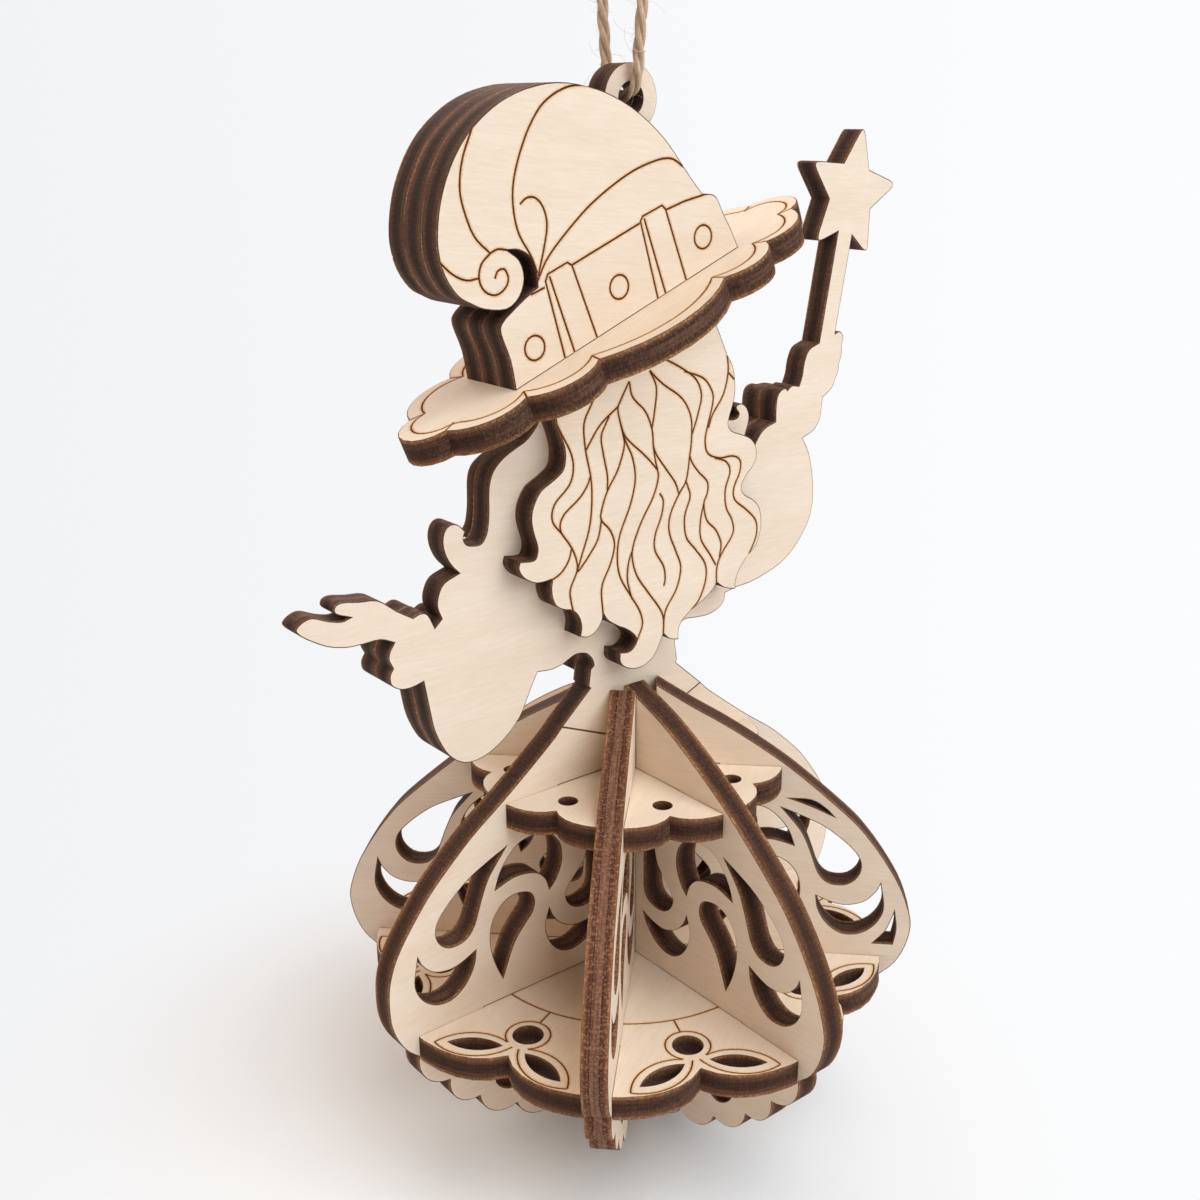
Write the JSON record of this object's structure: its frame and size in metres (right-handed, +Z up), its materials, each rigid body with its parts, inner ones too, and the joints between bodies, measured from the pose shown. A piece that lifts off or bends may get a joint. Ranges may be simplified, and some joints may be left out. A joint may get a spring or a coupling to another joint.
{
  "type": "hanging figurine ornament",
  "caption": "Hanging plywood witch figurine: a layered figure with hat, wavy hair and wand on a skirt of slotted scrollwork ribs and scalloped discs, on a jute twine loop.",
  "frame": {"origin": "top of the twine loop, just under its knot, where a hook or twig holds it", "axes": "+Z up along the hanging line, +X to the side of the open hand, -Y the way the face looks, so +Y is the figure's back"},
  "size_m": [0.0854, 0.0714, 0.1581],
  "materials": {
    "birch_ply": "bare birch plywood with dark burnt edges",
    "jute_twine": "rough twisted twine"
  },
  "bodies": {
    "twine": {"hanging_cord": "jute_twine", "cord_knot": "jute_twine"},
    "figure": {"figure_core": "birch_ply", "hat_core": "birch_ply", "hat_back": "birch_ply", "hat_front": "birch_ply", "hat_brim": "birch_ply", "hair_back": "birch_ply", "hair_front": "birch_ply", "bodice_front": "birch_ply", "sleeve_left_front": "birch_ply", "sleeve_right_front": "birch_ply", "rib_left": "birch_ply", "rib_back_left": "birch_ply", "rib_back": "birch_ply", "rib_back_right": "birch_ply", "rib_right": "birch_ply", "rib_front_right": "birch_ply", "rib_front": "birch_ply", "rib_front_left": "birch_ply", "upper_disc": "birch_ply", "lower_disc": "birch_ply"}
  },
  "joints": [
    {"name": "hang_swing", "type": "hinge", "parent": "twine", "child": "figure", "pos_m": [0, 0, -0.022], "axis": [0, 1, 0], "range_deg": [-25, 25]}
  ]
}
